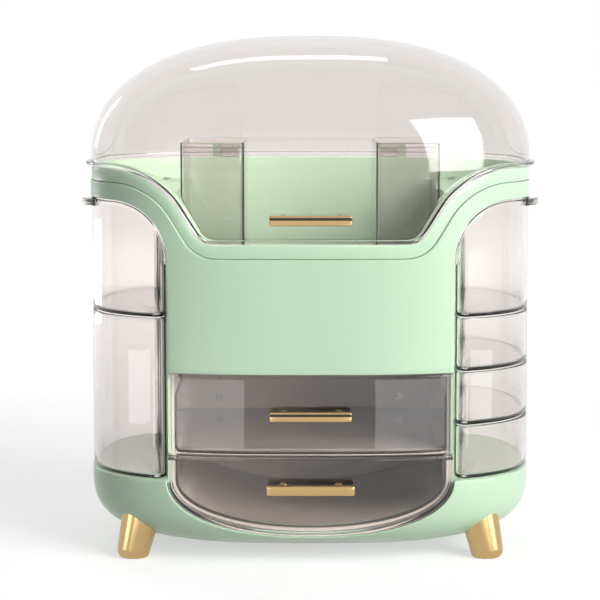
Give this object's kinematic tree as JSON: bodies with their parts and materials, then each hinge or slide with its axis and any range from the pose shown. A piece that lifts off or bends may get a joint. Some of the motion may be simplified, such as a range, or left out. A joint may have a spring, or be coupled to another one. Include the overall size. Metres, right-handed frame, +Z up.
{
  "type": "makeup organizer",
  "caption": "Rounded upright makeup organizer with a clear domed lid that hinges back over a deep tub, clear drawers in the middle and stacked clear swing trays at both sides, on splayed feet.",
  "frame": {"origin": "on the ground under the middle of the body, at the bottom centre of the bounding box", "axes": "+Z up, front with the drawers towards -Y, +X to the right seen from the front"},
  "size_m": [0.312, 0.232, 0.3515],
  "materials": {
    "green_shell": "satin gloss moulded plastic in pale mint green",
    "clear_plastic": "polished clear plastic with a faint warm tint",
    "gold_metal": "polished pale gold plating",
    "grey_liner": "fine matte warm grey plastic",
    "plated_steel": "plated steel"
  },
  "bodies": {
    "body": {"base_bowl": "green_shell", "base_deck": "green_shell", "body_shell": "green_shell", "drawer_cabinet": "grey_liner", "inner_tub": "green_shell", "hinge_leaf_body_left": "green_shell", "hinge_leaf_body_right": "green_shell", "hinge_pin_left": "plated_steel", "hinge_pin_right": "plated_steel", "pivot_pin_left": "plated_steel", "pivot_pin_right": "plated_steel", "foot_front_left": "gold_metal", "foot_front_right": "gold_metal", "foot_rear_left": "gold_metal", "foot_rear_right": "gold_metal", "foot_screws": "plated_steel", "deck_screws": "plated_steel", "cabinet_screws": "plated_steel"},
    "lid": {"lid_dome": "clear_plastic", "hinge_leaf_lid_left": "clear_plastic", "hinge_leaf_lid_right": "clear_plastic", "lid_pull": "gold_metal", "lid_pull_screws": "plated_steel"},
    "upper_drawer": {"upper_drawer_front": "clear_plastic", "upper_drawer_box": "clear_plastic", "upper_drawer_pull": "gold_metal", "upper_pull_screws": "plated_steel"},
    "lower_drawer": {"lower_drawer_front": "clear_plastic", "lower_drawer_box": "clear_plastic", "lower_drawer_pull": "gold_metal", "lower_pull_screws": "plated_steel"},
    "left_tray_1": {"left_tray_1": "clear_plastic"},
    "left_tray_2": {"left_tray_2": "clear_plastic"},
    "right_tray_1": {"right_tray_1": "clear_plastic"},
    "right_tray_2": {"right_tray_2": "clear_plastic"},
    "right_tray_3": {"right_tray_3": "clear_plastic"},
    "right_tray_4": {"right_tray_4": "clear_plastic"},
    "bin_left": {"bin_left": "clear_plastic"},
    "bin_right": {"bin_right": "clear_plastic"}
  },
  "joints": [
    {"name": "lid_hinge", "type": "hinge", "parent": "body", "child": "lid", "pos_m": [0, 0.1115, 0.2633], "axis": [-1, 0, 0], "range_deg": [0, 95]},
    {"name": "upper_drawer_slide", "type": "slide", "parent": "body", "child": "upper_drawer", "axis": [0, -1, 0], "range_m": [0, 0.12]},
    {"name": "lower_drawer_slide", "type": "slide", "parent": "body", "child": "lower_drawer", "axis": [0, -1, 0], "range_m": [0, 0.12]},
    {"name": "left_tray_1_swing", "type": "hinge", "parent": "body", "child": "left_tray_1", "pos_m": [-0.1042, 0.08013, 0.15], "axis": [0, 0, -1], "range_deg": [0, 90]},
    {"name": "left_tray_2_swing", "type": "hinge", "parent": "body", "child": "left_tray_2", "pos_m": [-0.1042, 0.08013, 0.15], "axis": [0, 0, -1], "range_deg": [0, 90]},
    {"name": "right_tray_1_swing", "type": "hinge", "parent": "body", "child": "right_tray_1", "pos_m": [0.1042, 0.08013, 0.15], "axis": [0, 0, 1], "range_deg": [0, 90]},
    {"name": "right_tray_2_swing", "type": "hinge", "parent": "body", "child": "right_tray_2", "pos_m": [0.1042, 0.08013, 0.15], "axis": [0, 0, 1], "range_deg": [0, 90]},
    {"name": "right_tray_3_swing", "type": "hinge", "parent": "body", "child": "right_tray_3", "pos_m": [0.1042, 0.08013, 0.15], "axis": [0, 0, 1], "range_deg": [0, 90]},
    {"name": "right_tray_4_swing", "type": "hinge", "parent": "body", "child": "right_tray_4", "pos_m": [0.1042, 0.08013, 0.15], "axis": [0, 0, 1], "range_deg": [0, 90]},
    {"name": "bin_left_lift", "type": "slide", "parent": "body", "child": "bin_left", "axis": [0, 0, 1], "range_m": [0, 0.014]},
    {"name": "bin_right_lift", "type": "slide", "parent": "body", "child": "bin_right", "axis": [0, 0, 1], "range_m": [0, 0.014]}
  ]
}
